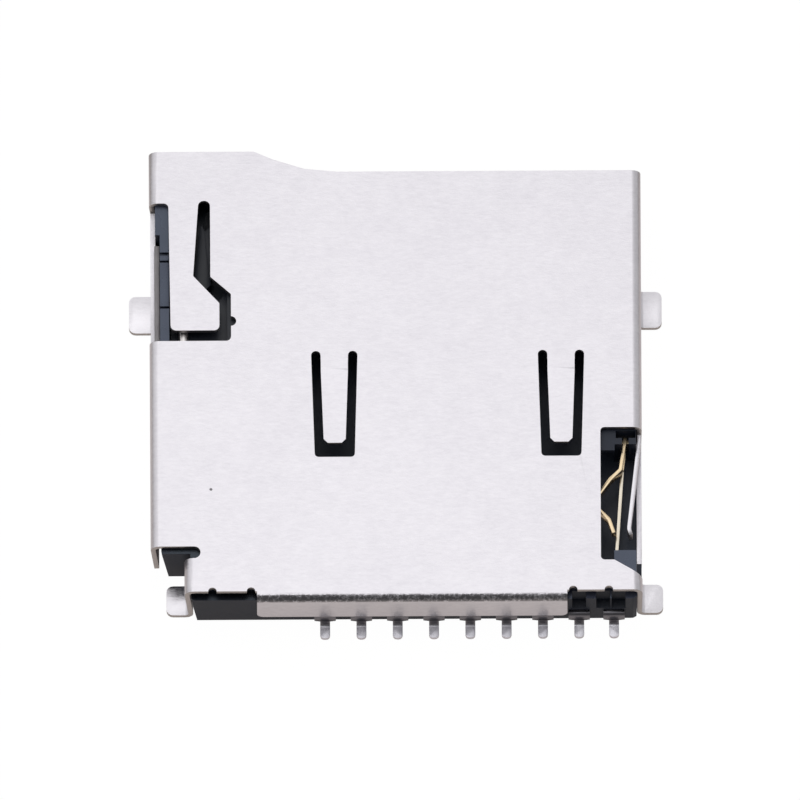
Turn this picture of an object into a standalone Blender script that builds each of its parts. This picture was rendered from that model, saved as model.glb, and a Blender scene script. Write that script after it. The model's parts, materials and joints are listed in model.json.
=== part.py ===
"""Surface-mount push-push socket for a micro memory card, at real size.

The card goes in at the front (-Y) with its contacts down. The terminals leave at the rear (+Y).
X = 0 is the middle of the shell, Z = 0 is the board, and every length is in metres.
"""

import math

import bmesh
import bpy
from mathutils import Matrix, Vector

MM = 0.001
ARC_STEP = math.radians(20)

# How far a cutter runs past what it cuts, how far a joined piece stays inside the face that it
# grows from, and the round end of a slot as a share of its width
THROUGH = 1.0 * MM
SEAM = 0.004 * MM
ROUND_END = 0.49

# Card, and the contacts that meet it
CARD_WIDTH = 11.0 * MM
CARD_PLAY = 0.085 * MM
CARD_BOTTOM = 0.7 * MM
CONTACTS = 8
CONTACT_MARGIN = 2.315 * MM
SWITCH_MARGIN = 0.985 * MM
PITCH = (CARD_WIDTH - CONTACT_MARGIN - SWITCH_MARGIN) / (CONTACTS - 1)

# Walls and fits that make up the width
SHEET = 0.15 * MM
FIT = 0.03 * MM
SWITCH_BAY = 0.675 * MM
MECHANISM_BAY = 2.275 * MM
MECHANISM_WALL = 0.42 * MM
HOUSING_HALF_WIDTH = (SWITCH_BAY + CARD_WIDTH + CARD_PLAY * 2 + MECHANISM_BAY + MECHANISM_WALL) / 2
HALF_WIDTH = HOUSING_HALF_WIDTH + FIT + SHEET
MECHANISM_WALL_X = HOUSING_HALF_WIDTH - MECHANISM_WALL
CHANNEL_MECHANISM_X = MECHANISM_WALL_X - MECHANISM_BAY
CHANNEL_SWITCH_X = SWITCH_BAY - HOUSING_HALF_WIDTH
CARD_EDGE_MECHANISM = CHANNEL_MECHANISM_X - CARD_PLAY
CARD_EDGE_SWITCH = CHANNEL_SWITCH_X + CARD_PLAY
CONTACT_XS = [CARD_EDGE_MECHANISM - CONTACT_MARGIN - PITCH * index for index in range(CONTACTS)]

# Heights of the shell and of what lies under it
HEIGHT = 1.85 * MM
UNDERSIDE = HEIGHT - SHEET
BEND = 0.28 * MM
WALL_BOTTOM = 0.27 * MM
MECHANISM_LEAN = 0.11 * MM
SWITCH_LEAN = 0.025 * MM

# Shell edges along Y, front to rear
HOOD_EDGE = -7.74 * MM
HOOD_LENGTH = 0.685 * MM
FRONT_EDGE = HOOD_EDGE + HOOD_LENGTH
REAR_EDGE = 6.96 * MM
HOOD_CORNER_X = CHANNEL_MECHANISM_X - 0.305 * MM
HOOD_CORNER_ROUND = 0.12 * MM
HOOD_SLOPE_X = HOOD_CORNER_X - 1.5 * MM
HOOD_SWEEP = 4.6 * MM

# Notch behind the mechanism, with a short inner wall
NOTCH_REAR = REAR_EDGE - 1.12 * MM
NOTCH_WIDTH = 0.39 * MM
WALL_REAR = NOTCH_REAR - NOTCH_WIDTH
NOTCH_DEPTH_X = HALF_WIDTH - 1.51 * MM
INNER_WALL_X = HALF_WIDTH - 1.02 * MM

# Rear flap
FLAP_FROM = CONTACT_XS[-1] + 0.355 * MM
FLAP_TO = CONTACT_XS[0] + 2.06 * MM
FLAP_FACE = REAR_EDGE + 0.31 * MM
FLAP_ROUND = 0.2 * MM
RELIEF_RADIUS = 0.13 * MM
RELIEF_OUTSET = 0.18 * MM
RELIEF_SPACING_MECHANISM = 1.17 * MM
RELIEF_SPACING_SWITCH = 1.08 * MM

# Solder tabs: how far each reaches past its wall, and its edges along Y
TAB_LENGTH = 0.62 * MM
TAB_INNER_LENGTH = 0.55 * MM
TAB_BEND = 0.1 * MM
TAB_ROUND = 0.2 * MM
TAB_MECHANISM = (-3.69 * MM, -2.47 * MM)
TAB_INNER = NOTCH_REAR + 0.15 * MM
TAB_SWITCH_FRONT = (-3.77 * MM, -2.57 * MM)
TAB_SWITCH_REAR = REAR_EDGE - 0.94 * MM

# Housing
HOUSING_BOTTOM = 0.05 * MM
HOUSING_TOP_GAP = 0.04 * MM
HOUSING_TOP = UNDERSIDE - HOUSING_TOP_GAP
FLOOR = 0.45 * MM
HOUSING_FRONT = FRONT_EDGE + 0.305 * MM
HOUSING_HOOD_FRONT = HOOD_EDGE + 0.24 * MM
HOUSING_REAR = FLAP_FACE - SHEET - 0.04 * MM
HOUSING_CORNER_ROUND = 0.15 * MM
REAR_STEP = 0.2 * MM
REAR_STEP_LENGTH = 0.3 * MM
RECESS_FRONT = -5.05 * MM
RECESS = 0.12 * MM
RECESS_LEDGE = WALL_BOTTOM - 0.07 * MM
CORNER_BLOCK_REAR = WALL_REAR + 0.16 * MM
CORNER_BLOCK_TAPER = 0.16 * MM
CORNER_LEAN = 0.17 * MM
LIP_CHAMFER = 0.2 * MM
CARD_STOP = 6.1 * MM
WALL_CUT_DEPTH = 0.14 * MM
WALL_CUTS = ((-4.47 * MM, -4.36 * MM), (-4.2 * MM, -4.13 * MM), (-2.67 * MM, -2.59 * MM))

# Latch bosses and the shell holes that they snap into
LATCH_LENGTH = 1.0 * MM
LATCH_LOW = 0.52 * MM
LATCH_HIGH = 1.0 * MM
LATCH_STAND = 0.12 * MM
LATCH_PLAY = 0.05 * MM
LATCH_MECHANISM_Y = (0.8 * MM, 4.1 * MM)
LATCH_SWITCH_Y = (-4.9 * MM, -0.3 * MM)

# Contacts
STRIP = 0.12 * MM
TERMINAL_TOP = 0.63 * MM
TERMINAL_WIDTH = 0.65 * MM
ROOT_WIDTH = 0.55 * MM
NECK_WIDTH = 0.3 * MM
SHOULDER_BOTTOM = 0.3 * MM
TERMINAL_FACE = HOUSING_REAR + 0.17 * MM
TERMINAL_BEND = 0.07 * MM
FOOT_TIP = 7.74 * MM
FOOT_ROUND = NECK_WIDTH * 0.4
FOOT_STEPS = 3
FOOT_BEND = 0.16 * MM
BEAM_ROOT = CARD_STOP - 0.2 * MM
BEAM_TIP = 3.1 * MM
APEX_Y = BEAM_TIP + 0.45 * MM
APEX_TOP = CARD_BOTTOM + 0.36 * MM
APEX_DROP = 0.2 * MM
APEX_WIDTH = 0.36 * MM
APEX_BEND = 0.3 * MM
SLOT_PLAY = 0.03 * MM
POCKET_WIDTH = 0.42 * MM
POCKET_DEPTH = 0.26 * MM
POCKET_BOTTOM = TERMINAL_TOP + 0.15 * MM
BEAM_WINDOW_FRONT = BEAM_TIP - 0.35 * MM
BEAM_WINDOW_REAR = BEAM_ROOT + 0.05 * MM
BEAM_WINDOW_WIDTH = ROOT_WIDTH + 0.25 * MM
FLAP_BOTTOM = TERMINAL_TOP + 0.034 * MM

# Cam rod, and the bay that it swings in
ROD_RADIUS = 0.16 * MM
ROD_X = MECHANISM_WALL_X - 0.43 * MM
ROD_SHELL_GAP = 0.03 * MM
ROD_SLIDER_GAP = 0.04 * MM
ROD_TIP_GAP = 0.07 * MM
ROD_BEND = 0.3 * MM
ROD_SWING = 0.4 * MM
ROD_Z = UNDERSIDE - ROD_SHELL_GAP - ROD_RADIUS
PIVOT_BLOCK_FRONT = 4.1 * MM
PIVOT_BLOCK_REAR = 5.2 * MM
PIVOT_BLOCK_X = ROD_X - 0.45 * MM
ROD_PIVOT_Y = PIVOT_BLOCK_FRONT + 0.5 * MM
ROD_PIVOT_END = 0.62 * MM

# Slider
TRAVEL = 4.0 * MM
LATCHED_TRAVEL = 3.25 * MM
RUNNING = 0.05 * MM
MECHANISM_FRONT = HOUSING_HOOD_FRONT + 0.6 * MM
GUIDE_RIB_WIDTH = 0.1 * MM
GUIDE_RIB_TOP = CARD_BOTTOM - 0.04 * MM
SLIDER_LENGTH = 5.85 * MM
SLIDER_FRONT = MECHANISM_FRONT + RUNNING
SLIDER_REAR = SLIDER_FRONT + SLIDER_LENGTH
SLIDER_BOTTOM = FLOOR + RUNNING
SLIDER_TOP = ROD_Z - ROD_RADIUS - ROD_SLIDER_GAP
SLIDER_OUTER_X = MECHANISM_WALL_X - RUNNING
GUIDE_RIB_X = CHANNEL_MECHANISM_X + GUIDE_RIB_WIDTH
SLIDER_INNER_X = GUIDE_RIB_X + RUNNING
RAIL_WIDTH = 0.37 * MM
RAIL_TOP = UNDERSIDE - 0.1 * MM
SEAT_LENGTH = 0.5 * MM
SEAT_TOP = UNDERSIDE - 0.15 * MM
ARM_TOP = UNDERSIDE - 0.25 * MM
ARM_TIP_X = CARD_EDGE_MECHANISM - 1.22 * MM
ARM_SLOPE_X = CARD_EDGE_MECHANISM - 0.29 * MM
ARM_SLOPE_Y = SLIDER_REAR - 4.08 * MM
ARM_FACE = ARM_SLOPE_Y + 0.9 * MM
ARM_REAR = ARM_FACE + 0.98 * MM
ARM_ROUND = 0.15 * MM
NUB_FRONT = SLIDER_FRONT + 0.35 * MM
NUB_LENGTH = 1.0 * MM
NUB_TIP_X = CARD_EDGE_MECHANISM - 0.07 * MM
NUB_ROUND = 0.12 * MM

# Heart-cam groove, traced by the tip of the rod
ROD_TIP_Y = SLIDER_REAR - 1.25 * MM
GROOVE_FLOOR = SLIDER_TOP - 0.46 * MM
GROOVE_PLAY = 0.03 * MM
GROOVE_ROUND = 0.1 * MM
RETURN_LANE_X = ROD_X - 1.02 * MM
RETURN_LANE_START = 0.9 * MM
HEART_ROUND = 0.04 * MM
HEART_FOOT = 0.75 * MM
HEART_HORN = 3.4 * MM
HEART_SEAT_X = ROD_X - 0.66 * MM
GUIDE_TOOTH_X = ROD_X - 0.72 * MM
GUIDE_TOOTH = 3.9 * MM
ROD_TIP_END = GROOVE_FLOOR + ROD_TIP_GAP

# Return spring, between the floor and the shell
SPRING_SEAT = 4.92 * MM
SPRING_WIRE = 0.08 * MM
SPRING_PLAY = 0.135 * MM
SPRING_BAY = min(UNDERSIDE - FLOOR, PIVOT_BLOCK_X - SLIDER_INNER_X)
SPRING_RADIUS = SPRING_BAY / 2 - SPRING_PLAY - SPRING_WIRE
SPRING_Z = (UNDERSIDE + FLOOR) / 2
SPRING_X = SLIDER_INNER_X + SPRING_RADIUS + SPRING_WIRE + SPRING_PLAY
SPRING_TURNS = 9
SPRING_POINTS_PER_TURN = 12
SPRING_END_GAP = 0.03 * MM
SPRING_CLOSED_PITCH = SPRING_WIRE * 2 + 0.008 * MM
PEG_RADIUS = SPRING_RADIUS - SPRING_WIRE - 0.07 * MM
PEG_LENGTH = 0.8 * MM

# Window and leaf over the mechanism
WINDOW_FRONT = -6.02 * MM
WINDOW_SILL = HEIGHT - 0.72 * MM
WINDOW_INNER_X = ROD_X + 0.44 * MM
WINDOW_ROUND = 0.15 * MM
LEAF_OUTER_X = ROD_X + 0.39 * MM
LEAF_END = -1.77 * MM
LEAF_HEAD_X = ROD_X - 1.09 * MM
LEAF_HEAD_START = LEAF_END - 0.91 * MM
LEAF_NECK_X = ROD_X - 0.3 * MM
LEAF_NECK_END = LEAF_HEAD_START - 0.91 * MM
LEAF_ROOT_X = ROD_X - 0.47 * MM
LEAF_SLOT_FRONT = WINDOW_FRONT - 0.08 * MM
LEAF_GAP = 0.35 * MM
LEAF_GAP_BEND = (LEAF_NECK_END + 0.03 * MM, LEAF_HEAD_START - 0.305 * MM)
LEAF_ROUND = 0.17 * MM
LEAF_SMALL_ROUND = 0.05 * MM
LEAF_NICK_Y = LEAF_END - 0.31 * MM
LEAF_NICK_RADIUS = 0.16 * MM

# Card pressure tongues, hanging from their front end
TONGUE_X = (CARD_EDGE_MECHANISM - 2.634 * MM, CARD_EDGE_SWITCH + 1.496 * MM)
TONGUE_ROOT = -0.75 * MM
TONGUE_LENGTH = 2.65 * MM
TONGUE_END = TONGUE_ROOT + TONGUE_LENGTH
TONGUE_SLOT_FRONT = TONGUE_ROOT - 0.31 * MM
TONGUE_SLOT_REAR = TONGUE_END + 0.58 * MM
TONGUE_ROOT_WIDTH = 0.83 * MM
TONGUE_END_WIDTH = 0.67 * MM
TONGUE_SLOT_ROOT_WIDTH = TONGUE_ROOT_WIDTH + 0.58 * MM
TONGUE_SLOT_END_WIDTH = TONGUE_END_WIDTH + 0.54 * MM
TONGUE_SLOT_ROUND = 0.12 * MM
TONGUE_THICKNESS = SHEET - 0.02 * MM
TONGUE_DROP = 0.22 * MM
TONGUE_BEND = 1.2 * MM
TONGUE_ANCHOR = 0.25 * MM

# Card switch contact: X is measured from the card's edge, toward the card
SWITCH_X = CARD_EDGE_SWITCH - 0.07 * MM
SWITCH_ROOT_Y = 1.69 * MM
SWITCH_ROOT_X = (CARD_EDGE_SWITCH - 0.69 * MM, CARD_EDGE_SWITCH - 0.21 * MM)
SWITCH_ROOT_TOP = UNDERSIDE - 0.6 * MM
SWITCH_ROOT_STRIP = 0.12 * MM
SWITCH_LEG_X = CARD_EDGE_SWITCH - 0.44 * MM
SWITCH_SPLIT_X = CARD_EDGE_SWITCH - 0.34 * MM
SWITCH_LEG_LOW = 0.57 * MM
SWITCH_LEG_HIGH = 0.97 * MM
SWITCH_LEG_SPLIT = SWITCH_ROOT_Y + 0.93 * MM
SWITCH_LEG_END = (CARD_EDGE_SWITCH - 0.1 * MM, 6.3 * MM)
SWITCH_LEAF_HIGH = UNDERSIDE - 0.32 * MM
SWITCH_LEAF_LOW = SWITCH_LEAF_HIGH - 0.32 * MM
SWITCH_REACH = 0.58 * MM
SWITCH_HOLD = 0.29 * MM
SWITCH_KNEE_REACH = 0.03 * MM
SWITCH_HEEL_REACH = 0.065 * MM
SWITCH_TIP_SETBACK = 0.08 * MM
SWITCH_STRAIGHT = 1.04 * MM
SWITCH_KNEE_RUN = 0.32 * MM
SWITCH_RISE_RUN = 0.8 * MM
SWITCH_FALL_RUN = 0.54 * MM
SWITCH_TIP_RUN = 0.45 * MM
SWITCH_HOLD_Y = SWITCH_ROOT_Y + SWITCH_STRAIGHT
SWITCH_KNEE_Y = SWITCH_HOLD_Y + SWITCH_KNEE_RUN
SWITCH_APEX_Y = SWITCH_KNEE_Y + SWITCH_RISE_RUN
SWITCH_HEEL_Y = SWITCH_APEX_Y + SWITCH_FALL_RUN
SWITCH_TIP_Y = SWITCH_HEEL_Y + SWITCH_TIP_RUN
SWITCH_LEAF = (
    (CARD_EDGE_SWITCH - SWITCH_HOLD, SWITCH_HOLD_Y),
    (CARD_EDGE_SWITCH + SWITCH_KNEE_REACH, SWITCH_KNEE_Y),
    (CARD_EDGE_SWITCH + SWITCH_REACH, SWITCH_APEX_Y),
    (CARD_EDGE_SWITCH + SWITCH_HEEL_REACH, SWITCH_HEEL_Y),
    (CARD_EDGE_SWITCH - SWITCH_TIP_SETBACK, SWITCH_TIP_Y),
)
SWITCH_LEAF_ROUND = 0.12 * MM
SWITCH_THICKNESS = 0.1 * MM
SWITCH_POST_REAR = SWITCH_ROOT_Y + 0.33 * MM
SWITCH_POST_LIP = (CHANNEL_SWITCH_X + 0.5 * MM, SWITCH_POST_REAR + 0.2 * MM)
SWITCH_POST_LIP_BOTTOM = UNDERSIDE - 0.2 * MM
SWITCH_BLOCK_FRONT = 5.56 * MM
SWITCH_STEM_WIDTH = 0.2 * MM
SWITCH_POCKET_XS = (SWITCH_X + 0.325 * MM, SWITCH_X - 0.14 * MM)

# Window over the card switch, and the earth finger lanced from the wall
SWITCH_WINDOW_FRONT = SWITCH_ROOT_Y - 0.16 * MM
SWITCH_WINDOW_REAR = SWITCH_BLOCK_FRONT + 0.4 * MM
SWITCH_WINDOW_X = 1.255 * MM - HALF_WIDTH
SWITCH_WINDOW_SLANT_X = 0.85 * MM - HALF_WIDTH
SWITCH_WINDOW_SLANT = 0.62
SWITCH_SILL = HEIGHT - 1.2 * MM
SHOULDER_FRONT = SWITCH_BLOCK_FRONT + FIT
SHOULDER_REAR = TAB_SWITCH_REAR - 0.07 * MM
FINGER_THICKNESS = SHEET - 0.04 * MM
FINGER_HIGH = HEIGHT - BEND - 0.3 * MM
FINGER_LOW = FINGER_HIGH - 0.5 * MM
FINGER_ANCHOR = 0.18 * MM
FINGER_KNEE = SWITCH_WINDOW_FRONT + 0.22 * MM
FINGER_TIP = (0.405 * MM - HALF_WIDTH, 4.66 * MM)
FINGER_CURL = (0.34 * MM - HALF_WIDTH, 4.84 * MM)
FINGER_TIP_WIDTH = 0.4 * MM

# Planes that an outline is drawn in, with the direction that it is extruded along
PLAN = Matrix.Identity(4)
SIDE = Matrix(((0, 0, 1, 0), (1, 0, 0, 0), (0, 1, 0, 0), (0, 0, 0, 1)))
ACROSS = Matrix(((1, 0, 0, 0), (0, 0, 1, 0), (0, 1, 0, 0), (0, 0, 0, 1)))


def clear_scene():
    for obj in list(bpy.data.objects):
        bpy.data.objects.remove(obj, do_unlink=True)


def new_collection(name):
    collection = bpy.data.collections.new(name)
    bpy.context.scene.collection.children.link(collection)
    return collection


def new_material(name, colour, roughness, metallic):
    material = bpy.data.materials.new(name)
    material.use_nodes = True
    shader = material.node_tree.nodes["Principled BSDF"]
    shader.inputs["Base Color"].default_value = (*colour, 1)
    shader.inputs["Roughness"].default_value = roughness
    shader.inputs["Metallic"].default_value = metallic
    return material


def place(obj, collection, material=None):
    for old in list(obj.users_collection):
        old.objects.unlink(obj)
    collection.objects.link(obj)
    if material:
        obj.data.materials.clear()
        obj.data.materials.append(material)
    return obj


def mesh_object(name, bm):
    mesh = bpy.data.meshes.new(name)
    bm.to_mesh(mesh)
    bm.free()
    obj = bpy.data.objects.new(name, mesh)
    bpy.context.scene.collection.objects.link(obj)
    return obj


def fillet(before, corner, after, radius):
    """Points of the arc that rounds a corner between two straight runs."""
    to_before = (before - corner).normalized()
    to_after = (after - corner).normalized()
    half_angle = to_before.angle(to_after) / 2
    centre = corner + (to_before + to_after).normalized() * radius / math.sin(half_angle)
    reach = radius / math.tan(half_angle)
    start = corner + to_before * reach - centre
    end = corner + to_after * reach - centre
    turn = start.angle(end)
    steps = max(2, round(turn / ARC_STEP))
    points = []
    for step in range(steps + 1):
        swept = turn * step / steps
        points.append(centre + (start * math.sin(turn - swept) + end * math.sin(swept)) / math.sin(turn))
    return points


def outline(corners):
    """Closed outline from (x, y) or (x, y, radius) corners."""
    points = []
    for index, corner in enumerate(corners):
        here = Vector(corner[:2])
        if len(corner) == 2:
            points.append(here)
            continue
        before = Vector(corners[index - 1][:2])
        after = Vector(corners[(index + 1) % len(corners)][:2])
        points += fillet(before, here, after, corner[2])
    return points


def prism(name, corners, low, high, plane=PLAN):
    """Solid with a flat outline, between two levels of the plane.

    The outline is filled a thousand times larger and brought back, because filling merges points
    that lie closer together than the small fillets here.
    """
    curve = bpy.data.curves.new(name, "CURVE")
    curve.dimensions = "2D"
    curve.fill_mode = "BOTH"
    curve.extrude = (high - low) / 2 / MM
    spline = curve.splines.new("POLY")
    points = outline(corners)
    spline.points.add(len(points) - 1)
    for target, point in zip(spline.points, points):
        target.co = (point.x / MM, point.y / MM, 0, 1)
    spline.use_cyclic_u = True
    source = bpy.data.objects.new(name, curve)
    bpy.context.scene.collection.objects.link(source)
    graph = bpy.context.evaluated_depsgraph_get()
    mesh = bpy.data.meshes.new_from_object(source.evaluated_get(graph))
    bpy.data.objects.remove(source)
    bm = bmesh.new()
    bm.from_mesh(mesh)
    bpy.data.meshes.remove(mesh)
    bmesh.ops.remove_doubles(bm, verts=bm.verts, dist=MM)
    to_place = plane @ Matrix.Translation((0, 0, (low + high) / 2)) @ Matrix.Scale(MM, 4)
    bmesh.ops.transform(bm, matrix=to_place, verts=bm.verts)
    bmesh.ops.recalc_face_normals(bm, faces=bm.faces)
    return mesh_object(name, bm)


def box(name, low, high):
    bpy.ops.mesh.primitive_cube_add(size=1)
    obj = bpy.context.object
    obj.name = name
    size = Vector(high) - Vector(low)
    centre = (Vector(high) + Vector(low)) / 2
    obj.data.transform(Matrix.Translation(centre) @ Matrix.Diagonal((*size, 1)))
    return obj


def cylinder(name, start, end, radius, sides=16):
    start, end = Vector(start), Vector(end)
    along = end - start
    bpy.ops.mesh.primitive_cylinder_add(vertices=sides, radius=radius, depth=along.length)
    obj = bpy.context.object
    obj.name = name
    turned = along.to_track_quat("Z", "Y").to_matrix().to_4x4()
    obj.data.transform(Matrix.Translation((start + end) / 2) @ turned)
    return obj


def formed_path(stations):
    """Points and widths along a bent strip, from (point, width) or (point, width, bend) stations."""
    points, widths = [], []
    for index, station in enumerate(stations):
        here, width = station[:2]
        arc = [Vector(here)]
        if len(station) == 3:
            before = Vector(stations[index - 1][0])
            after = Vector(stations[index + 1][0])
            arc = fillet(before, Vector(here), after, station[2])
        points += arc
        widths += [width] * len(arc)
    return points, widths


def ribbon(name, points, widths, across, thickness):
    """Strip of sheet metal: an edge carried along the points, then thickened to both sides."""
    across = Vector(across)
    bm = bmesh.new()
    ends = [bm.verts.new(points[0] + across * side * widths[0] / 2) for side in (-1, 1)]
    edge = bm.edges.new(ends)
    for before, here, width in zip(points, points[1:], widths[1:]):
        grown = bmesh.ops.extrude_edge_only(bm, edges=[edge])["geom"]
        edge = next(item for item in grown if isinstance(item, bmesh.types.BMEdge))
        for vert in edge.verts:
            side = math.copysign(1, (vert.co - before).dot(across))
            vert.co = here + across * side * width / 2
    obj = mesh_object(name, bm)
    thicken(obj, thickness, 0)
    return obj


def thicken(obj, thickness, offset):
    solidify = obj.modifiers.new("Sheet", "SOLIDIFY")
    solidify.thickness = thickness
    solidify.offset = offset
    solidify.use_even_offset = True
    solidify.use_quality_normals = True


def combine(target, tool, operation, collection):
    """Boolean of a helper solid with a sub-part."""
    modifier = target.modifiers.new(tool.name, "BOOLEAN")
    modifier.operation = operation
    modifier.solver = "EXACT"
    modifier.object = tool
    tool.hide_render = True
    tool.display_type = "WIRE"
    place(tool, collection)


def shade_round(obj):
    obj.data.shade_smooth()
    if obj.type == "MESH":
        obj.data.set_sharp_from_angle(angle=math.radians(35))


def plate_outline():
    """Flat top of the shell, up to where its bends start, anticlockwise from above."""
    side = HALF_WIDTH - BEND
    inner = INNER_WALL_X - BEND
    slot_round = (NOTCH_REAR - WALL_REAR) * ROUND_END
    flap_start = FLAP_FACE - BEND
    return outline(
        [
            (side, HOOD_EDGE),
            (side, TAB_MECHANISM[0]),
            (side, TAB_MECHANISM[1]),
            (side, WALL_REAR),
            (NOTCH_DEPTH_X, WALL_REAR, slot_round),
            (NOTCH_DEPTH_X, NOTCH_REAR, slot_round),
            (inner, NOTCH_REAR),
            (inner, TAB_INNER),
            (inner, REAR_EDGE),
            (FLAP_TO, REAR_EDGE),
            (FLAP_TO, flap_start),
            (FLAP_FROM, flap_start),
            (FLAP_FROM, REAR_EDGE),
            (-side, REAR_EDGE),
            (-side, TAB_SWITCH_REAR),
            (-side, TAB_SWITCH_FRONT[1]),
            (-side, TAB_SWITCH_FRONT[0]),
            (-side, FRONT_EDGE),
            (HOOD_SLOPE_X, FRONT_EDGE, HOOD_SWEEP),
            (HOOD_CORNER_X, HOOD_EDGE, HOOD_CORNER_ROUND),
        ]
    )


def edges_on(bm, x, y_from, y_to):
    """Edges that run along Y at one X, between two Y values."""
    slack = FIT / 10
    found = []
    for edge in bm.edges:
        ys = [vert.co.y for vert in edge.verts]
        if all(abs(vert.co.x - x) < slack for vert in edge.verts):
            if min(ys) > y_from - slack and max(ys) < y_to + slack and edge.is_boundary:
                found.append(edge)
    return found


def bend_down(bm, edges, centre, axis, angle, radius):
    """Carries edges round a bend and returns the edges at its far side."""
    steps = max(3, round(abs(angle) / ARC_STEP * (1 + radius / BEND) / 2))
    spun = bmesh.ops.spin(
        bm, geom=edges, cent=centre, axis=axis, angle=angle, steps=steps, use_duplicate=False
    )
    return [item for item in spun["geom_last"] if isinstance(item, bmesh.types.BMEdge)]


def carry(bm, edges, offset):
    """Extrudes edges by an offset and returns the new ones."""
    grown = bmesh.ops.extrude_edge_only(bm, edges=edges)["geom"]
    verts = [item for item in grown if isinstance(item, bmesh.types.BMVert)]
    bmesh.ops.translate(bm, verts=verts, vec=offset)
    return [item for item in grown if isinstance(item, bmesh.types.BMEdge)]


def add_tab(bm, edges, wall_x, length):
    """Carries part of a wall down to the board and out along it as a solder tab.

    wall_x is where the wall's outer face ends, and length is the tab's reach from there.
    """
    side = math.copysign(1, wall_x)
    foot_start = SHEET + TAB_BEND
    edges = carry(bm, edges, (0, 0, foot_start - WALL_BOTTOM))
    centre = (wall_x + side * TAB_BEND, 0, foot_start)
    edges = bend_down(bm, edges, centre, (0, -side, 0), math.pi / 2, TAB_BEND)
    carried = carry(bm, edges, (side * (length - TAB_BEND), 0, 0))
    return free_corners(carried, Vector((side, 0, 0)))


def free_corners(edges, outward):
    """End vertices of a free edge, for rounding."""
    ends = {vert for edge in edges for vert in edge.verts}
    furthest = max(vert.co.dot(outward) for vert in ends)
    edge_verts = [vert for vert in ends if vert.co.dot(outward) > furthest - FIT / 10]
    along = Vector((0, 1, 0)) if abs(outward.x) > abs(outward.z) else Vector((1, 0, 0))
    edge_verts.sort(key=lambda vert: vert.co.dot(along))
    return [edge_verts[0], edge_verts[-1]]


def add_wall(bm, wall_x, y_from, y_to, lean=0):
    """Side wall hanging from the plate, bent down from its edge and leaning in toward its foot."""
    side = math.copysign(1, wall_x)
    plate_x = wall_x - side * BEND
    edges = edges_on(bm, plate_x, y_from, y_to)
    centre = (plate_x, 0, HEIGHT - BEND)
    edges = bend_down(bm, edges, centre, (0, side, 0), math.pi / 2, BEND)
    return carry(bm, edges, (-side * lean, 0, WALL_BOTTOM - HEIGHT + BEND))


def wall_slope(lean):
    """How far a leaning wall moves in for each length that it drops below its bend."""
    return lean / (HEIGHT - BEND - WALL_BOTTOM)


def within(edges, y_from, y_to):
    slack = FIT / 10
    kept = []
    for edge in edges:
        ys = [vert.co.y for vert in edge.verts]
        if min(ys) > y_from - slack and max(ys) < y_to + slack:
            kept.append(edge)
    return kept


def shell_surface():
    """Outer face of the shell: plate, walls, rear flap and tabs as one bent sheet."""
    bm = bmesh.new()
    bm.faces.new([bm.verts.new((*point, HEIGHT)) for point in plate_outline()])
    bm.edges.ensure_lookup_table()
    mechanism = add_wall(bm, HALF_WIDTH, HOOD_EDGE, WALL_REAR, MECHANISM_LEAN)
    inner = add_wall(bm, INNER_WALL_X, NOTCH_REAR, REAR_EDGE, MECHANISM_LEAN)
    switch = add_wall(bm, -HALF_WIDTH, FRONT_EDGE, REAR_EDGE, SWITCH_LEAN)
    inner_foot = INNER_WALL_X - MECHANISM_LEAN
    inner_tab = within(inner, TAB_INNER, REAR_EDGE)
    corners = add_tab(bm, inner_tab, inner_foot, TAB_INNER_LENGTH + MECHANISM_LEAN)
    outer_tabs = (
        (mechanism, 1, MECHANISM_LEAN, TAB_MECHANISM),
        (switch, -1, SWITCH_LEAN, TAB_SWITCH_FRONT),
        (switch, -1, SWITCH_LEAN, (TAB_SWITCH_REAR, REAR_EDGE)),
    )
    for wall, side, lean, (y_from, y_to) in outer_tabs:
        foot_x = side * (HALF_WIDTH - lean)
        corners += add_tab(bm, within(wall, y_from, y_to), foot_x, TAB_LENGTH + lean)
    flap_start = FLAP_FACE - BEND
    flap = [
        edge
        for edge in bm.edges
        if all(abs(vert.co.y - flap_start) < FIT / 10 for vert in edge.verts)
        and abs(edge.verts[0].co.x - edge.verts[1].co.x) > HALF_WIDTH / 2
    ]
    centre = (0, flap_start, HEIGHT - BEND)
    flap = bend_down(bm, flap, centre, (-1, 0, 0), math.pi / 2, BEND)
    flap = carry(bm, flap, (0, 0, FLAP_BOTTOM - HEIGHT + BEND))
    round_corners(bm, free_corners(flap, Vector((0, 0, -1))), FLAP_ROUND)
    round_corners(bm, corners, TAB_ROUND)
    return mesh_object("shell", bm)


def round_corners(bm, verts, radius):
    bmesh.ops.bevel(
        bm, geom=verts, offset=radius, offset_type="OFFSET", segments=4, profile=0.5, affect="VERTICES"
    )


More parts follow.
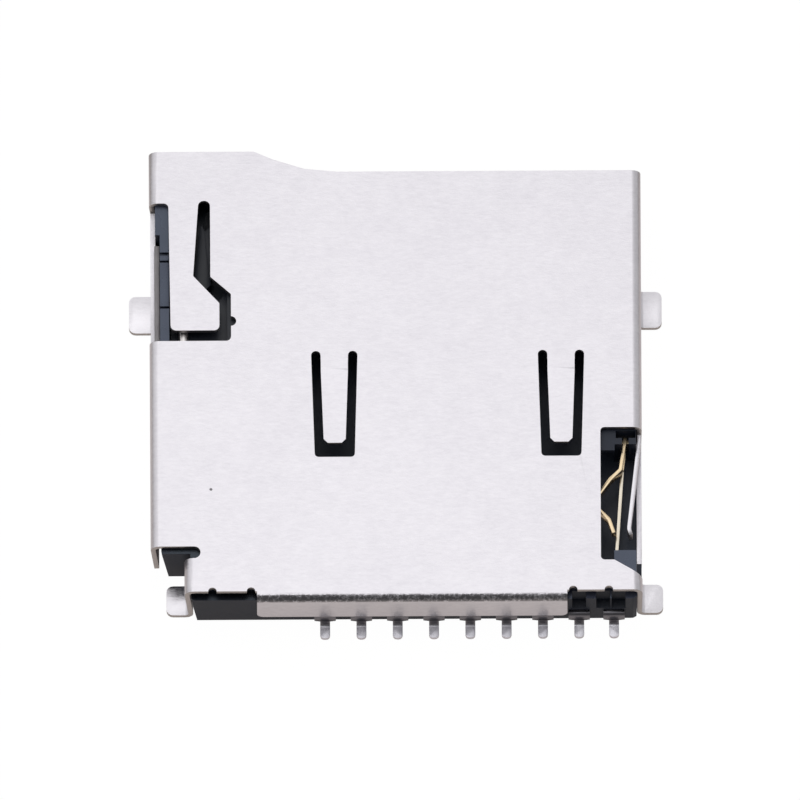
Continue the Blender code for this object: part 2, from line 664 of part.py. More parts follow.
def mechanism_window():
    """Opening that frees the leaf over the rod: window, slot beside the leaf and gap at its end."""
    outside = HALF_WIDTH + THROUGH
    gap_end = LEAF_END + LEAF_GAP
    root_slot_x = LEAF_ROOT_X - LEAF_GAP
    head_slot_x = LEAF_HEAD_X - LEAF_GAP
    return prism(
        "mechanism_window",
        [
            (outside, WINDOW_FRONT),
            (WINDOW_INNER_X, WINDOW_FRONT, WINDOW_ROUND),
            (LEAF_OUTER_X, LEAF_END, LEAF_ROUND),
            (LEAF_HEAD_X, LEAF_END, LEAF_ROUND),
            (LEAF_HEAD_X, LEAF_HEAD_START, LEAF_SMALL_ROUND),
            (LEAF_NECK_X, LEAF_NECK_END, LEAF_SMALL_ROUND),
            (LEAF_ROOT_X, LEAF_SLOT_FRONT, LEAF_GAP * ROUND_END),
            (root_slot_x, LEAF_SLOT_FRONT, LEAF_GAP * ROUND_END),
            (root_slot_x, LEAF_GAP_BEND[0], LEAF_SMALL_ROUND),
            (head_slot_x, LEAF_GAP_BEND[1], LEAF_SMALL_ROUND),
            (head_slot_x, gap_end, WINDOW_ROUND),
            (outside, gap_end),
        ],
        WINDOW_SILL,
        HEIGHT + THROUGH,
    )


def switch_window():
    outside = -HALF_WIDTH - THROUGH
    slanted = (SWITCH_WINDOW_SLANT_X - outside) * SWITCH_WINDOW_SLANT
    return prism(
        "switch_window",
        [
            (outside, SWITCH_WINDOW_FRONT),
            (SWITCH_WINDOW_X, SWITCH_WINDOW_FRONT, TONGUE_SLOT_ROUND),
            (SWITCH_WINDOW_X, SWITCH_WINDOW_REAR, TONGUE_SLOT_ROUND),
            (SWITCH_WINDOW_SLANT_X, SWITCH_WINDOW_REAR),
            (outside, SWITCH_WINDOW_REAR + slanted),
        ],
        SWITCH_SILL,
        HEIGHT + THROUGH,
    )


def shoulder(play=0):
    """Block on the housing's side behind the card switch, or with play the wall notch round it."""
    return box(
        "shoulder",
        (SWITCH_LEAN - HALF_WIDTH - play * 2, SHOULDER_FRONT - play, HOUSING_BOTTOM + FIT),
        (FIT * 3 - HOUSING_HALF_WIDTH, SHOULDER_REAR + play, SWITCH_SILL + play),
    )


def foot_ledge():
    """Ledge of the housing under the wall's foot beside the card switch."""
    return box(
        "foot_ledge",
        (SWITCH_LEAN - HALF_WIDTH + FIT, SWITCH_WINDOW_FRONT, HOUSING_BOTTOM + FIT * 2),
        (FIT * 3 - HOUSING_HALF_WIDTH, SHOULDER_FRONT + FIT, WALL_BOTTOM - FIT),
    )


def tongue_opening(x):
    """Opening round one pressure tongue, with round-ended legs either side of its root."""
    slot_half = TONGUE_SLOT_ROOT_WIDTH / 2
    root_half = TONGUE_ROOT_WIDTH / 2
    end_half = TONGUE_SLOT_END_WIDTH / 2
    leg_round = (slot_half - root_half) * ROUND_END
    return prism(
        "tongue_opening",
        [
            (x + slot_half, TONGUE_SLOT_FRONT, leg_round),
            (x + end_half, TONGUE_SLOT_REAR, TONGUE_SLOT_ROUND),
            (x - end_half, TONGUE_SLOT_REAR, TONGUE_SLOT_ROUND),
            (x - slot_half, TONGUE_SLOT_FRONT, leg_round),
            (x - root_half, TONGUE_SLOT_FRONT, leg_round),
            (x - root_half, TONGUE_ROOT),
            (x + root_half, TONGUE_ROOT),
            (x + root_half, TONGUE_SLOT_FRONT, leg_round),
        ],
        HEIGHT - SHEET - THROUGH,
        HEIGHT + THROUGH,
    )


def pressure_tongue(x):
    """Tongue that slopes down from the plate to press on the card."""
    middle = HEIGHT - TONGUE_THICKNESS / 2
    bend_y = TONGUE_ROOT + TONGUE_BEND / 4
    rounding_y = TONGUE_END - TONGUE_SLOT_ROUND
    rounding_drop = TONGUE_DROP * (rounding_y - bend_y) / (TONGUE_END - bend_y)
    root_width = TONGUE_ROOT_WIDTH - SEAM * 2
    points, widths = formed_path(
        [
            ((x, TONGUE_ROOT - TONGUE_ANCHOR, middle), root_width),
            ((x, bend_y, middle), root_width, TONGUE_BEND),
            ((x, rounding_y, middle - rounding_drop), TONGUE_END_WIDTH),
            ((x, TONGUE_END, middle - TONGUE_DROP), TONGUE_END_WIDTH - TONGUE_SLOT_ROUND * 2),
        ]
    )
    return ribbon("tongue", points, widths, (1, 0, 0), TONGUE_THICKNESS)


def earth_finger():
    """Finger lanced from the shell wall, which the card switch touches when a card is in."""
    height = (FINGER_LOW + FINGER_HIGH) / 2
    middle = HALF_WIDTH - SHEET / 2 - wall_slope(SWITCH_LEAN) * (HEIGHT - BEND - height)
    width = FINGER_HIGH - FINGER_LOW
    points, widths = formed_path(
        [
            ((-middle, SWITCH_WINDOW_FRONT - FINGER_ANCHOR, height), width),
            ((-middle, FINGER_KNEE, height), width, BEND),
            ((*FINGER_TIP, height), width, BEND),
            ((*FINGER_CURL, height), FINGER_TIP_WIDTH),
        ]
    )
    return ribbon("earth_finger", points, widths, (0, 0, 1), FINGER_THICKNESS)


def latches():
    """(side, lean of its wall, y) of each latch."""
    mechanism = [(1, MECHANISM_LEAN, y) for y in LATCH_MECHANISM_Y]
    return mechanism + [(-1, SWITCH_LEAN, y) for y in LATCH_SWITCH_Y]


def build_shell(parts, helpers, material):
    shell = shell_surface()
    thicken(shell, SHEET, -1)
    combine(shell, mechanism_window(), "DIFFERENCE", helpers)
    combine(shell, switch_window(), "DIFFERENCE", helpers)
    combine(shell, shoulder(FIT), "DIFFERENCE", helpers)
    above, below = HEIGHT + THROUGH, HEIGHT - SHEET - THROUGH / 2
    nick_x = LEAF_HEAD_X - LEAF_GAP
    nick_ends = [(nick_x, LEAF_NICK_Y, z) for z in (below, above)]
    combine(shell, cylinder("leaf_nick", *nick_ends, LEAF_NICK_RADIUS), "DIFFERENCE", helpers)
    relief_xs = [
        FLAP_TO + RELIEF_OUTSET,
        FLAP_TO + RELIEF_OUTSET + RELIEF_SPACING_MECHANISM,
        FLAP_FROM - RELIEF_OUTSET,
        FLAP_FROM - RELIEF_OUTSET - RELIEF_SPACING_SWITCH,
    ]
    for x in relief_xs:
        relief = cylinder("relief", (x, REAR_EDGE, below), (x, REAR_EDGE, above), RELIEF_RADIUS)
        combine(shell, relief, "DIFFERENCE", helpers)
    half_hole = LATCH_LENGTH / 2 + LATCH_PLAY
    for side, _, y in latches():
        outside = side * (HALF_WIDTH - SHEET / 2)
        hole = box(
            "latch_hole",
            (outside - SHEET, y - half_hole, LATCH_LOW - LATCH_PLAY),
            (outside + SHEET, y + half_hole, LATCH_HIGH + LATCH_PLAY),
        )
        combine(shell, hole, "DIFFERENCE", helpers)
    for x in TONGUE_X:
        combine(shell, tongue_opening(x), "DIFFERENCE", helpers)
        combine(shell, pressure_tongue(x), "UNION", helpers)
    combine(shell, earth_finger(), "UNION", helpers)
    place(shell, parts, material)
    return shell


def housing_outline():
    wide = HOUSING_HALF_WIDTH
    inner = INNER_WALL_X - SHEET - FIT
    return [
        (wide, HOUSING_HOOD_FRONT, HOUSING_CORNER_ROUND),
        (wide, CORNER_BLOCK_REAR - CORNER_BLOCK_TAPER * 3),
        (wide - CORNER_BLOCK_TAPER, CORNER_BLOCK_REAR),
        (inner, CORNER_BLOCK_REAR),
        (inner, HOUSING_REAR, HOUSING_CORNER_ROUND),
        (-wide, HOUSING_REAR, HOUSING_CORNER_ROUND),
        (-wide, HOUSING_FRONT, HOUSING_CORNER_ROUND),
        (CHANNEL_MECHANISM_X, HOUSING_FRONT),
        (CHANNEL_MECHANISM_X, HOUSING_HOOD_FRONT),
    ]


def cavity_outline():
    """Card channel, mechanism bay, spring bay and switch bay, as one open hollow."""
    front = HOUSING_HOOD_FRONT - THROUGH
    outside = -HALF_WIDTH - THROUGH
    return [
        (CHANNEL_SWITCH_X, front),
        (CHANNEL_MECHANISM_X, front),
        (CHANNEL_MECHANISM_X, MECHANISM_FRONT),
        (MECHANISM_WALL_X, MECHANISM_FRONT),
        (MECHANISM_WALL_X, PIVOT_BLOCK_FRONT),
        (PIVOT_BLOCK_X, PIVOT_BLOCK_FRONT),
        (PIVOT_BLOCK_X, SPRING_SEAT),
        (CHANNEL_MECHANISM_X, SPRING_SEAT),
        (CHANNEL_MECHANISM_X, CARD_STOP),
        (CHANNEL_SWITCH_X, CARD_STOP),
        (CHANNEL_SWITCH_X, SWITCH_BLOCK_FRONT),
        (outside, SWITCH_BLOCK_FRONT),
        (outside, SWITCH_POST_REAR),
        (CHANNEL_SWITCH_X, SWITCH_POST_REAR),
    ]


def latch_boss(side, lean, y):
    """Wedge that snaps into a hole of the shell, with its slope toward the top."""
    foot = HOUSING_HALF_WIDTH - lean - FIT
    crest = HOUSING_HALF_WIDTH + LATCH_STAND
    slope_start = (LATCH_LOW + LATCH_HIGH) / 2
    corners = [
        (side * foot, LATCH_LOW),
        (side * crest, LATCH_LOW),
        (side * crest, slope_start),
        (side * foot, LATCH_HIGH),
    ]
    return prism("latch_boss", corners, y - LATCH_LENGTH / 2, y + LATCH_LENGTH / 2, ACROSS)


def strip_slot(name, x, width, front, rear):
    """Slot through the rear wall for a flat terminal strip."""
    half = width / 2 + SLOT_PLAY
    return box(
        name,
        (x - half, front, TERMINAL_TOP - STRIP - SLOT_PLAY),
        (x + half, rear, TERMINAL_TOP + SLOT_PLAY),
    )


def cut_terminal_slots(housing, helpers):
    rear = HOUSING_REAR + THROUGH
    pocket_xs = CONTACT_XS + list(SWITCH_POCKET_XS)
    for x in CONTACT_XS:
        combine(housing, strip_slot("slot", x, ROOT_WIDTH, CARD_STOP - FIT, rear), "DIFFERENCE", helpers)
        window = box(
            "beam_window",
            (x - BEAM_WINDOW_WIDTH / 2, BEAM_WINDOW_FRONT, HOUSING_BOTTOM - THROUGH),
            (x + BEAM_WINDOW_WIDTH / 2, BEAM_WINDOW_REAR, FLOOR + THROUGH / 10),
        )
        combine(housing, window, "DIFFERENCE", helpers)
    combine(
        housing,
        strip_slot("slot", SWITCH_X, ROOT_WIDTH, SWITCH_BLOCK_FRONT - FIT, rear),
        "DIFFERENCE",
        helpers,
    )
    for x in pocket_xs:
        pocket = box(
            "pocket",
            (x - POCKET_WIDTH / 2, HOUSING_REAR - POCKET_DEPTH, POCKET_BOTTOM),
            (x + POCKET_WIDTH / 2, rear, HEIGHT),
        )
        combine(housing, pocket, "DIFFERENCE", helpers)


def cut_switch_slots(housing, helpers):
    """T-slot that holds the root of the switch contact, and the slot for its leg at the rear."""
    low, high = SWITCH_LEG_LOW - SLOT_PLAY, HEIGHT
    left, right = SWITCH_ROOT_X[0] - SLOT_PLAY * 2, SWITCH_ROOT_X[1] + SLOT_PLAY * 2
    front, rear = SWITCH_ROOT_Y - SWITCH_ROOT_STRIP, SWITCH_ROOT_Y + SWITCH_ROOT_STRIP
    head = box("switch_head_slot", (left, front, low), (right, rear, high))
    stem_half = SWITCH_STEM_WIDTH / 2
    stem = box(
        "switch_stem_slot",
        (SWITCH_LEG_X - stem_half, rear - FIT, low),
        (SWITCH_LEG_X + stem_half, SWITCH_POST_REAR + FIT, high),
    )
    leg_x, leg_rear = SWITCH_LEG_END
    leg = box(
        "switch_leg_slot",
        (leg_x - SWITCH_THICKNESS, SWITCH_BLOCK_FRONT - FIT, low),
        (leg_x + SWITCH_THICKNESS, leg_rear + SLOT_PLAY, SWITCH_LEG_HIGH + SLOT_PLAY),
    )
    for cutter in (head, stem, leg):
        combine(housing, cutter, "DIFFERENCE", helpers)


def leaning_side(side, face, lean, y_from):
    """Wedge that leans a side face of the housing in toward its foot, as the shell wall leans."""
    lean_start = HEIGHT - BEND
    foot = face - wall_slope(lean) * (lean_start - HOUSING_BOTTOM + THROUGH)
    outside = HOUSING_HALF_WIDTH + THROUGH
    corners = [
        (side * face, lean_start),
        (side * foot, HOUSING_BOTTOM - THROUGH),
        (side * outside, HOUSING_BOTTOM - THROUGH),
        (side * outside, lean_start),
    ]
    return prism("leaning_side", corners, y_from, HOUSING_REAR + THROUGH, ACROSS)


def side_recess():
    """Hollow in the mechanism side that stands clear of the shell wall."""
    return box(
        "side_recess",
        (HOUSING_HALF_WIDTH - RECESS, RECESS_FRONT, RECESS_LEDGE),
        (HALF_WIDTH, CORNER_BLOCK_REAR + THROUGH, HEIGHT),
    )


def rear_step():
    """Lower stretch of the housing's top, behind the shell's rear edge."""
    return box(
        "rear_step",
        (-HALF_WIDTH - THROUGH, HOUSING_REAR - REAR_STEP_LENGTH, HOUSING_TOP - REAR_STEP),
        (HALF_WIDTH + THROUGH, HOUSING_REAR + THROUGH, HEIGHT),
    )


def post_lip():
    """Lip of the switch post that reaches over the card's edge."""
    lip_x, lip_rear = SWITCH_POST_LIP
    return box(
        "post_lip",
        (CHANNEL_SWITCH_X - FIT, SWITCH_ROOT_Y - STRIP * 4, SWITCH_POST_LIP_BOTTOM),
        (lip_x, lip_rear, HOUSING_TOP),
    )


def build_housing(parts, helpers, material):
    housing = prism("housing", housing_outline(), HOUSING_BOTTOM, HOUSING_TOP)
    block_face = HOUSING_HALF_WIDTH - CORNER_BLOCK_TAPER
    inner_face = INNER_WALL_X - SHEET - FIT
    block_front = WALL_REAR - CORNER_BLOCK_TAPER
    leaning_sides = [
        leaning_side(1, HOUSING_HALF_WIDTH, MECHANISM_LEAN, HOOD_EDGE),
        leaning_side(-1, HOUSING_HALF_WIDTH, SWITCH_LEAN, HOOD_EDGE),
        leaning_side(1, block_face, CORNER_LEAN, block_front),
        leaning_side(1, inner_face, CORNER_LEAN, CORNER_BLOCK_REAR),
    ]
    for cutter in leaning_sides + [side_recess(), rear_step()]:
        combine(housing, cutter, "DIFFERENCE", helpers)
    combine(housing, prism("cavity", cavity_outline(), FLOOR, HEIGHT), "DIFFERENCE", helpers)
    combine(housing, post_lip(), "UNION", helpers)
    rib = box(
        "guide_rib",
        (CHANNEL_MECHANISM_X, HOUSING_FRONT + LIP_CHAMFER, HOUSING_BOTTOM + FIT),
        (GUIDE_RIB_X, SPRING_SEAT + FIT, GUIDE_RIB_TOP),
    )
    combine(housing, rib, "UNION", helpers)
    over_pivot = box(
        "over_pivot",
        (PIVOT_BLOCK_X, PIVOT_BLOCK_FRONT - FIT, SLIDER_TOP),
        (MECHANISM_WALL_X, PIVOT_BLOCK_REAR, HEIGHT),
    )
    combine(housing, over_pivot, "DIFFERENCE", helpers)
    pivot = cylinder(
        "pivot_hole",
        (ROD_X, ROD_PIVOT_Y, ROD_PIVOT_END - RUNNING),
        (ROD_X, ROD_PIVOT_Y, HEIGHT),
        ROD_RADIUS + GROOVE_PLAY,
    )
    combine(housing, pivot, "DIFFERENCE", helpers)
    peg = cylinder(
        "housing_peg",
        (SPRING_X, SPRING_SEAT + PEG_LENGTH / 2, SPRING_Z),
        (SPRING_X, SPRING_SEAT - PEG_LENGTH, SPRING_Z),
        PEG_RADIUS,
    )
    combine(housing, peg, "UNION", helpers)
    lip = prism(
        "entry_lip",
        [
            (HOUSING_FRONT - LIP_CHAMFER, FLOOR - LIP_CHAMFER * 2),
            (HOUSING_FRONT + LIP_CHAMFER * 2, FLOOR + LIP_CHAMFER),
            (HOUSING_FRONT - LIP_CHAMFER, FLOOR + LIP_CHAMFER),
        ],
        CHANNEL_SWITCH_X,
        CHANNEL_MECHANISM_X,
        SIDE,
    )
    combine(housing, lip, "DIFFERENCE", helpers)
    for front, rear in WALL_CUTS:
        cut = box(
            "wall_cut",
            (MECHANISM_WALL_X - FIT, front, HOUSING_TOP - WALL_CUT_DEPTH),
            (HALF_WIDTH, rear, HEIGHT),
        )
        combine(housing, cut, "DIFFERENCE", helpers)
    for side, lean, y in latches():
        combine(housing, latch_boss(side, lean, y), "UNION", helpers)
    combine(housing, shoulder(), "UNION", helpers)
    combine(housing, foot_ledge(), "UNION", helpers)
    cut_terminal_slots(housing, helpers)
    cut_switch_slots(housing, helpers)
    place(housing, parts, material)
    return housing


def terminal_stations(x):
    """Rear end of a contact, from its root in the housing to the tip of its soldered foot."""
    flat = TERMINAL_TOP - STRIP / 2
    face = TERMINAL_FACE - STRIP / 2
    sole = STRIP / 2
    tip = []
    for step in range(FOOT_STEPS + 1):
        angle = math.pi / 2 * step / FOOT_STEPS
        y = FOOT_TIP - FOOT_ROUND * (1 - math.sin(angle))
        tip.append(((x, y, sole), NECK_WIDTH - FOOT_ROUND * 2 * (1 - math.cos(angle))))
    return [
        ((x, HOUSING_REAR - FIT, flat), ROOT_WIDTH),
        ((x, HOUSING_REAR + FIT, flat), ROOT_WIDTH),
        ((x, face, flat), TERMINAL_WIDTH, TERMINAL_BEND),
        ((x, face, SHOULDER_BOTTOM), TERMINAL_WIDTH),
        ((x, face + FIT / 2, SHOULDER_BOTTOM - FIT), NECK_WIDTH),
        ((x, face + FIT * 2, sole), NECK_WIDTH, FOOT_BEND),
    ] + tip


def build_contact(number, x, parts, material):
    """One card contact: a sprung beam in the card channel and a terminal behind the housing."""
    flat = TERMINAL_TOP - STRIP / 2
    apex = APEX_TOP - STRIP / 2
    stations = [
        ((x, BEAM_TIP, apex - APEX_DROP), APEX_WIDTH),
        ((x, APEX_Y, apex), APEX_WIDTH, APEX_BEND),
        ((x, BEAM_ROOT, flat), ROOT_WIDTH, APEX_BEND * 2),
    ] + terminal_stations(x)
    points, widths = formed_path(stations)
    contact = ribbon(f"contact_{number}", points, widths, (1, 0, 0), STRIP)
    place(contact, parts, material)
    shade_round(contact)
    return contact


def build_switch_contact(parts, helpers, material):
    """Card switch: one stamping with a root plate, a leaf that the card pushes, a leg and a terminal."""
    root = box(
        "detect_contact",
        (SWITCH_ROOT_X[0], SWITCH_ROOT_Y - SWITCH_ROOT_STRIP / 2, SWITCH_LEG_LOW),
        (SWITCH_ROOT_X[1], SWITCH_ROOT_Y + SWITCH_ROOT_STRIP / 2, SWITCH_ROOT_TOP),
    )
    leaf_middle = (SWITCH_LEAF_LOW + SWITCH_LEAF_HIGH) / 2
    leaf_width = SWITCH_LEAF_HIGH - SWITCH_LEAF_LOW
    stations = [((SWITCH_LEG_X, SWITCH_ROOT_Y, leaf_middle), leaf_width)]
    stations += [((*point, leaf_middle), leaf_width, SWITCH_LEAF_ROUND) for point in SWITCH_LEAF[:-1]]
    stations.append(((*SWITCH_LEAF[-1], leaf_middle), leaf_width))
    leaf = ribbon("switch_leaf", *formed_path(stations), (0, 0, 1), SWITCH_THICKNESS)
    leg_middle = (SWITCH_LEG_LOW + SWITCH_LEG_HIGH) / 2
    leg_width = SWITCH_LEG_HIGH - SWITCH_LEG_LOW
    leg_path = formed_path(
        [
            ((SWITCH_LEG_X, SWITCH_ROOT_Y, leg_middle), leg_width),
            ((SWITCH_SPLIT_X, SWITCH_LEG_SPLIT, leg_middle), leg_width, SWITCH_LEAF_ROUND * 4),
            ((*SWITCH_LEG_END, leg_middle), leg_width),
        ]
    )
    leg = ribbon("switch_leg", *leg_path, (0, 0, 1), SWITCH_THICKNESS - SEAM)
    web_middle = (SWITCH_LEG_LOW + SWITCH_LEAF_LOW) / 2 + FIT
    web_width = SWITCH_LEAF_LOW - SWITCH_LEG_LOW
    web_path = formed_path(
        [
            ((SWITCH_LEG_X, SWITCH_ROOT_Y, web_middle), web_width),
            ((SWITCH_SPLIT_X, SWITCH_LEG_SPLIT, web_middle), web_width),
        ]
    )
    web = ribbon("switch_web", *web_path, (0, 0, 1), SWITCH_THICKNESS - SEAM * 2)
    flat = TERMINAL_TOP - STRIP / 2
    start = ((SWITCH_X, SWITCH_BLOCK_FRONT + STRIP * 2, flat), ROOT_WIDTH)
    terminal = ribbon(
        "switch_terminal", *formed_path([start] + terminal_stations(SWITCH_X)), (1, 0, 0), STRIP
    )
    for piece in (leaf, leg, web, terminal):
        combine(root, piece, "UNION", helpers)
    place(root, parts, material)
    return root


def groove_outline():
    """Outer edge of the heart-cam groove in the slider, where the slider lies at rest.

    The tip starts at the rear end of the travel lane, meets its front end as the slider goes in,
    drops back into the seat of the heart, and leaves along the return lane.
    """
    half = ROD_RADIUS + GROOVE_PLAY
    start, top = ROD_TIP_Y + half, ROD_TIP_Y - TRAVEL - half
    return [
        (ROD_X + half, start, GROOVE_ROUND),
        (ROD_X + half - ROD_SWING, top, GROOVE_ROUND),
        (ROD_X - half - ROD_SWING, top, GROOVE_ROUND),
        (GUIDE_TOOTH_X, ROD_TIP_Y - GUIDE_TOOTH, HEART_ROUND),
        (RETURN_LANE_X, top, GROOVE_ROUND),
        (RETURN_LANE_X - half, top + half, GROOVE_ROUND),
        (RETURN_LANE_X - half, ROD_TIP_Y - RETURN_LANE_START, GROOVE_ROUND),
        (ROD_X - half, start, GROOVE_ROUND),
    ]


def heart_outline():
    """Island that the tip goes round, notched at its far end to hold the tip while latched."""
    half = ROD_RADIUS + GROOVE_PLAY
    lane_lean = ROD_SWING / TRAVEL
    lane_x = ROD_X - half
    seat_y = ROD_TIP_Y - LATCHED_TRAVEL + half
    return [
        (lane_x - HEART_FOOT * lane_lean, ROD_TIP_Y - HEART_FOOT, HEART_ROUND),
        (RETURN_LANE_X + half, ROD_TIP_Y - RETURN_LANE_START - half * 2, HEART_ROUND),
        (RETURN_LANE_X + half, ROD_TIP_Y - LATCHED_TRAVEL, HEART_ROUND),
        (HEART_SEAT_X, seat_y, HEART_ROUND),
        (lane_x - HEART_HORN * lane_lean, ROD_TIP_Y - HEART_HORN, HEART_ROUND),
    ]


def build_slider(parts, helpers, material):
    """Moulded slider that carries the card in and out, with the heart-cam groove in its top."""
    slider = box(
        "slider",
        (SLIDER_INNER_X, SLIDER_FRONT, SLIDER_BOTTOM),
        (SLIDER_OUTER_X, SLIDER_REAR, SLIDER_TOP),
    )
    rail = box(
        "slider_rail",
        (SLIDER_INNER_X, SLIDER_FRONT, SLIDER_BOTTOM),
        (SLIDER_INNER_X + RAIL_WIDTH, SLIDER_REAR, RAIL_TOP),
    )
    seat = box(
        "slider_seat",
        (SLIDER_INNER_X, SLIDER_REAR - SEAT_LENGTH, SLIDER_BOTTOM),
        (SPRING_X + SPRING_RADIUS + SPRING_WIRE, SLIDER_REAR, SEAT_TOP),
    )
    peg = cylinder(
        "slider_peg",
        (SPRING_X, SLIDER_REAR - SEAT_LENGTH / 2, SPRING_Z),
        (SPRING_X, SLIDER_REAR + PEG_LENGTH, SPRING_Z),
        PEG_RADIUS,
    )
    root_x = SLIDER_INNER_X + RAIL_WIDTH / 2
    arm = prism(
        "slider_arm",
        [
            (root_x, ARM_REAR),
            (ARM_TIP_X, ARM_REAR, ARM_ROUND),
            (ARM_TIP_X, ARM_FACE, ARM_ROUND),
            (ARM_SLOPE_X, ARM_SLOPE_Y, ARM_ROUND),
            (root_x, ARM_SLOPE_Y),
        ],
        CARD_BOTTOM,
        ARM_TOP,
    )
    nub = prism(
        "slider_nub",
        [
            (root_x, NUB_FRONT),
            (root_x, NUB_FRONT + NUB_LENGTH),
            (NUB_TIP_X, NUB_FRONT + NUB_LENGTH / 2, NUB_ROUND),
        ],
        CARD_BOTTOM,
        ARM_TOP,
    )
    for piece in (rail, seat, peg, arm, nub):
        combine(slider, piece, "UNION", helpers)
    groove = prism("groove", groove_outline(), GROOVE_FLOOR, SLIDER_TOP + THROUGH / 10)
    heart = prism("heart", heart_outline(), GROOVE_FLOOR - RUNNING, SLIDER_TOP)
    combine(groove, heart, "DIFFERENCE", helpers)
    combine(slider, groove, "DIFFERENCE", helpers)
    on_axis = Vector((SPRING_X, SLIDER_REAR, SPRING_Z))
    slider.data.transform(Matrix.Translation(-on_axis))
    slider.location = on_axis
    place(slider, parts, material)
    return slider


def wire(name, points, radius, origin, roundness):
    """Round wire along a path, as a curve with filled ends and its own origin."""
    curve = bpy.data.curves.new(name, "CURVE")
    curve.dimensions = "3D"
    curve.bevel_depth = radius
    curve.bevel_resolution = roundness
    curve.use_fill_caps = True
    spline = curve.splines.new("POLY")
    spline.points.add(len(points) - 1)
    for target, point in zip(spline.points, points):
        target.co = (*(Vector(point) - Vector(origin)), 1)
    obj = bpy.data.objects.new(name, curve)
    obj.location = origin
    return obj


def build_rod(parts, material):
    """Steel rod with both ends bent down: one turns in the housing, the other traces the groove."""
    pivot = (ROD_X, ROD_PIVOT_Y, ROD_Z)
    points, _ = formed_path(
        [
            ((ROD_X, ROD_PIVOT_Y, ROD_PIVOT_END), ROD_RADIUS),
            ((ROD_X, ROD_PIVOT_Y, ROD_Z), ROD_RADIUS, ROD_BEND),
            ((ROD_X, ROD_TIP_Y, ROD_Z), ROD_RADIUS, ROD_BEND),
            ((ROD_X, ROD_TIP_Y, ROD_TIP_END), ROD_RADIUS),
        ]
    )
    rod = wire("cam_rod", points, ROD_RADIUS, pivot, 3)
    place(rod, parts, material)
    return rod


def build_spring(parts, material):
    """Return spring between the slider and its seat in the housing."""
    front = SLIDER_REAR + SPRING_WIRE + SPRING_END_GAP
    rear = SPRING_SEAT - SPRING_WIRE - SPRING_END_GAP
    open_pitch = (rear - front - SPRING_CLOSED_PITCH * 2) / (SPRING_TURNS - 2)
    points = []
    for index in range(SPRING_TURNS * SPRING_POINTS_PER_TURN + 1):
        turn = index / SPRING_POINTS_PER_TURN
        closed_turns = min(turn, 1) + max(turn - SPRING_TURNS + 1, 0)
        x = SPRING_X + SPRING_RADIUS * math.cos(math.tau * turn)
        y = front + closed_turns * SPRING_CLOSED_PITCH + (turn - closed_turns) * open_pitch
        z = SPRING_Z + SPRING_RADIUS * math.sin(math.tau * turn)
        points.append((x, y, z))
    spring = wire("eject_spring", points, SPRING_WIRE, (SPRING_X, rear, SPRING_Z), 2)
    place(spring, parts, material)
    return spring


def main():
    clear_scene()
    parts = new_collection("Card socket")
    helpers = new_collection("Cutters")
    steel = new_material("Nickel-plated steel", (0.82, 0.80, 0.82), 0.28, 1.0)
    plastic = new_material("Black moulding", (0.030, 0.034, 0.042), 0.45, 0.0)
    slider_plastic = new_material("Slider moulding", (0.040, 0.046, 0.058), 0.4, 0.0)
    gold = new_material("Gold-plated bronze", (0.80, 0.66, 0.36), 0.25, 1.0)
    contact_metal = new_material("Contact bronze", (0.72, 0.66, 0.55), 0.3, 1.0)
    spring_steel = new_material("Spring steel", (0.60, 0.60, 0.60), 0.3, 1.0)
    rod_steel = new_material("Rod steel", (0.72, 0.71, 0.70), 0.25, 1.0)

    build_shell(parts, helpers, steel)
    build_housing(parts, helpers, plastic)
    for index, x in enumerate(CONTACT_XS):
        build_contact(index + 1, x, parts, contact_metal)
    build_switch_contact(parts, helpers, gold)
    build_slider(parts, helpers, slider_plastic)
    build_rod(parts, rod_steel)
    build_spring(parts, spring_steel)


main()
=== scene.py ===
"""Finish, light and camera for the micro memory card socket."""

import json
import math

import bpy
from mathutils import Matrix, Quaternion, Vector

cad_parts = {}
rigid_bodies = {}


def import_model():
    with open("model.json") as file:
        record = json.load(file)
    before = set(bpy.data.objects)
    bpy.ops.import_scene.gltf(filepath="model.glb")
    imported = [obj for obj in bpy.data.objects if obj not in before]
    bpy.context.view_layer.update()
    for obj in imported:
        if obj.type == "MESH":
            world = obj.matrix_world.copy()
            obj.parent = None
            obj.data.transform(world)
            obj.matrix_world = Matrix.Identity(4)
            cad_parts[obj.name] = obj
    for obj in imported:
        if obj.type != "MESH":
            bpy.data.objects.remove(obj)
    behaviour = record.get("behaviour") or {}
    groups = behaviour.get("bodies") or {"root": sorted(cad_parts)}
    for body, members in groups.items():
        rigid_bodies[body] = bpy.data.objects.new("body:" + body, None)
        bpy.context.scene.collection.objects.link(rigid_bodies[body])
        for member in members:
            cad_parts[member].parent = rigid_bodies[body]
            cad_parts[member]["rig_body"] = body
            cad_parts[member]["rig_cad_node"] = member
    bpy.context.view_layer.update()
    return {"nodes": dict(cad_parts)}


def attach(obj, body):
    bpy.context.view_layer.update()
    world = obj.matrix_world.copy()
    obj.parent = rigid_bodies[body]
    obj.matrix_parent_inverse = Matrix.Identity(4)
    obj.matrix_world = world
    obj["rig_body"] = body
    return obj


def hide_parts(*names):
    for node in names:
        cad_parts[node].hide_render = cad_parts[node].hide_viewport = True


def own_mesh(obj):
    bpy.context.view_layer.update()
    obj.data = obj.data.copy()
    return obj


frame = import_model()

MM = 0.001

# Camera: the photograph looks from behind, steeply down, with a slight roll
CAMERA_AZIMUTH = 180
CAMERA_ELEVATION = 65
CAMERA_ROLL = 0.3
CAMERA_DISTANCE = 100 * MM
IMAGE_SIZE = 800
PIXELS_PER_MM = 33
IMAGE_CENTRE_ON_COVER = Vector((-0.129 * MM, 0.592 * MM, 1.85 * MM))

